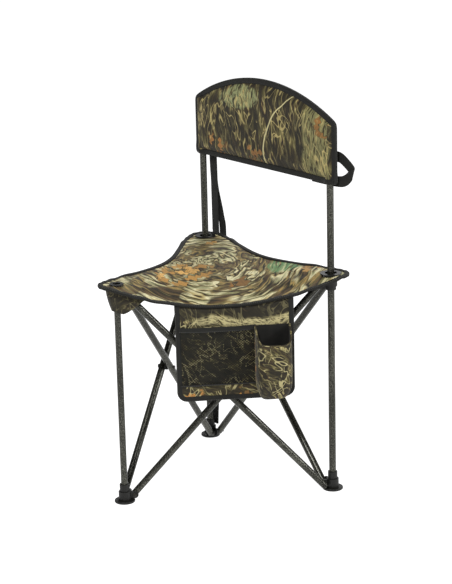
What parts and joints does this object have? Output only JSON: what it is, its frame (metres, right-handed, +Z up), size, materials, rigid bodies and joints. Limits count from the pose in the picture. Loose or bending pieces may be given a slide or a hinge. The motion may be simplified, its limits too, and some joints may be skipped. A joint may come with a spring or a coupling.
{
  "type": "folding tripod stool with backrest",
  "caption": "Folding three-legged field stool: scissor-braced steel tube frame, sling seat, padded backrest and a hanging storage panel with pouches.",
  "frame": {"origin": "on the ground, midway between the three leg axes", "axes": "+Z up; the sitter faces -Y, the front leg stands on -Y, the sitter's left is +X"},
  "size_m": [0.537, 0.4739, 0.865],
  "materials": {
    "powder_coat": "dark olive-grey textured powder coat",
    "rivet_steel": "darkened steel rivet",
    "black_plastic": "moulded black plastic",
    "eyelet_plastic": "black moulded eyelet",
    "black_webbing": "black ribbed webbing",
    "black_mesh": "black knitted mesh",
    "seat_camouflage": "woven polyester with a bark and leaf print",
    "backrest_camouflage": "woven polyester with a bark and grass print",
    "pocket_camouflage": "woven polyester with a bark and leaf print"
  },
  "bodies": {
    "front_leg": {"front_foot": "black_plastic", "front_leg_tube": "powder_coat", "front_foot_rivets": "rivet_steel"},
    "left_leg": {"left_foot": "black_plastic", "left_post": "powder_coat", "left_post_cap": "black_plastic", "left_foot_rivets": "rivet_steel"},
    "right_leg": {"right_foot": "black_plastic", "right_post": "powder_coat", "right_post_cap": "black_plastic", "right_foot_rivets": "rivet_steel", "shoulder_strap_outer": "black_webbing", "shoulder_strap_inner": "black_webbing"},
    "front_slider": {"front_hub": "black_plastic", "front_inner_tube": "powder_coat", "front_hub_rivets": "rivet_steel", "front_seat_eyelet": "eyelet_plastic", "seat_front_corner": "seat_camouflage", "front_corner_boot": "pocket_camouflage", "storage_panel": "pocket_camouflage", "mesh_pocket": "black_mesh", "cup_pouch": "pocket_camouflage"},
    "left_slider": {"left_slider_hub": "black_plastic", "left_hub_rivets": "rivet_steel", "left_seat_eyelet": "eyelet_plastic", "seat_left_corner": "seat_camouflage"},
    "right_slider": {"right_slider_hub": "black_plastic", "right_hub_rivets": "rivet_steel", "right_seat_eyelet": "eyelet_plastic", "seat_right_corner": "seat_camouflage"},
    "seat_front": {"seat_front_panel": "seat_camouflage"},
    "seat_left": {"seat_left_panel": "seat_camouflage"},
    "seat_right": {"seat_right_panel": "seat_camouflage"},
    "backrest_left": {"backrest_left": "backrest_camouflage", "tie_loop": "black_webbing"},
    "backrest_right": {"backrest_right": "backrest_camouflage"},
    "left_inner_brace": {"left_inner_brace": "powder_coat", "left_inner_brace_plugs": "black_plastic", "left_cross_rivet": "rivet_steel", "left_cross_spacer": "black_plastic"},
    "left_outer_brace": {"left_outer_brace": "powder_coat", "left_outer_brace_plugs": "black_plastic"},
    "rear_inner_brace": {"rear_inner_brace": "powder_coat", "rear_inner_brace_plugs": "black_plastic", "rear_cross_rivet": "rivet_steel", "rear_cross_spacer": "black_plastic"},
    "rear_outer_brace": {"rear_outer_brace": "powder_coat", "rear_outer_brace_plugs": "black_plastic"},
    "right_inner_brace": {"right_inner_brace": "powder_coat", "right_inner_brace_plugs": "black_plastic"},
    "right_outer_brace": {"right_outer_brace": "powder_coat", "right_outer_brace_plugs": "black_plastic", "right_cross_rivet": "rivet_steel", "right_cross_spacer": "black_plastic"}
  },
  "joints": [
    {"name": "fold", "type": "hinge", "parent": "front_leg", "child": "left_inner_brace", "pos_m": [0.00234, -0.23575, 0.014], "axis": [0.866, -0.5, 0], "range_deg": [0, 39.13]},
    {"name": "left_cross", "type": "hinge", "parent": "left_inner_brace", "child": "left_outer_brace", "pos_m": [0.1125, -0.06495, 0.235], "axis": [0.866, -0.5, 0], "range_deg": [-78.31, 0]},
    {"name": "left_foot_pivot", "type": "hinge", "parent": "left_outer_brace", "child": "left_leg", "pos_m": [0.22266, 0.10585, 0.014], "axis": [0.866, -0.5, 0], "range_deg": [0, 39.18]},
    {"name": "left_hub_pivot", "type": "hinge", "parent": "left_inner_brace", "child": "left_slider", "pos_m": [0.20534, 0.11585, 0.456], "axis": [0.866, -0.5, 0], "range_deg": [-39.18, 0], "deforming": ["seat_left_corner"]},
    {"name": "front_hub_pivot", "type": "hinge", "parent": "left_outer_brace", "child": "front_slider", "pos_m": [0.01966, -0.24576, 0.456], "axis": [0.866, -0.5, 0], "range_deg": [0, 39.18], "deforming": ["storage_panel", "mesh_pocket", "cup_pouch", "front_corner_boot", "seat_front_corner"]},
    {"name": "right_fold", "type": "hinge", "parent": "front_leg", "child": "right_outer_brace", "pos_m": [-0.01966, -0.24576, 0.014], "axis": [0.866, 0.5, 0], "range_deg": [0, 39.18]},
    {"name": "right_cross", "type": "hinge", "parent": "right_outer_brace", "child": "right_inner_brace", "pos_m": [-0.1125, -0.06495, 0.235], "axis": [0.866, 0.5, 0], "range_deg": [-78.31, 0]},
    {"name": "right_foot_pivot", "type": "hinge", "parent": "right_inner_brace", "child": "right_leg", "pos_m": [-0.20534, 0.11585, 0.014], "axis": [0.866, 0.5, 0], "range_deg": [0, 39.18], "deforming": ["shoulder_strap_outer", "shoulder_strap_inner"]},
    {"name": "right_hub_pivot", "type": "hinge", "parent": "right_outer_brace", "child": "right_slider", "pos_m": [-0.22266, 0.10585, 0.456], "axis": [0.866, 0.5, 0], "range_deg": [-39.18, 0], "deforming": ["seat_right_corner"]},
    {"name": "rear_fold", "type": "hinge", "parent": "left_leg", "child": "rear_inner_brace", "pos_m": [0.203, 0.1199, 0.014], "axis": [0, 1, 0], "range_deg": [0, 39.18]},
    {"name": "rear_cross", "type": "hinge", "parent": "rear_inner_brace", "child": "rear_outer_brace", "pos_m": [0, 0.1299, 0.235], "axis": [0, 1, 0], "range_deg": [-78.31, 0]},
    {"name": "seat_front_fold", "type": "hinge", "parent": "front_slider", "child": "seat_front", "pos_m": [0, -0.23781, 0.48], "axis": [1, 0, 0], "range_deg": [0, 84.21], "deforming": ["seat_front_panel"]},
    {"name": "seat_left_fold", "type": "hinge", "parent": "left_slider", "child": "seat_left", "pos_m": [0.20595, 0.1189, 0.48], "axis": [-0.5, 0.866, 0], "range_deg": [0, 84.21], "deforming": ["seat_left_panel"]},
    {"name": "seat_right_fold", "type": "hinge", "parent": "right_slider", "child": "seat_right", "pos_m": [-0.20595, 0.1189, 0.48], "axis": [-0.5, -0.866, 0], "range_deg": [0, 84.21], "deforming": ["seat_right_panel"]},
    {"name": "backrest_left_fold", "type": "hinge", "parent": "left_leg", "child": "backrest_left", "pos_m": [0.225, 0.1299, 0.76], "axis": [0, 0, 1], "range_deg": [-79.81, 0], "deforming": ["backrest_left", "tie_loop"]},
    {"name": "backrest_centre_fold", "type": "hinge", "parent": "backrest_left", "child": "backrest_right", "pos_m": [0, 0.1299, 0.76], "axis": [0, 0, 1], "range_deg": [0, 159.57], "deforming": ["backrest_right"]}
  ],
  "couplings": [
    {"joint": "left_cross", "follows": "fold", "ratio": -2},
    {"joint": "left_foot_pivot", "follows": "fold", "ratio": 1},
    {"joint": "left_hub_pivot", "follows": "fold", "ratio": -1},
    {"joint": "front_hub_pivot", "follows": "fold", "ratio": 1},
    {"joint": "right_fold", "follows": "fold", "ratio": 1},
    {"joint": "right_cross", "follows": "fold", "ratio": -2},
    {"joint": "right_foot_pivot", "follows": "fold", "ratio": 1},
    {"joint": "right_hub_pivot", "follows": "fold", "ratio": -1},
    {"joint": "rear_fold", "follows": "fold", "ratio": 1},
    {"joint": "rear_cross", "follows": "fold", "ratio": -2},
    {"joint": "seat_front_fold", "follows": "fold", "ratio": 2.1508},
    {"joint": "seat_left_fold", "follows": "fold", "ratio": 2.1508},
    {"joint": "seat_right_fold", "follows": "fold", "ratio": 2.1508},
    {"joint": "backrest_left_fold", "follows": "fold", "ratio": -2.0383},
    {"joint": "backrest_centre_fold", "follows": "fold", "ratio": 4.0766}
  ]
}
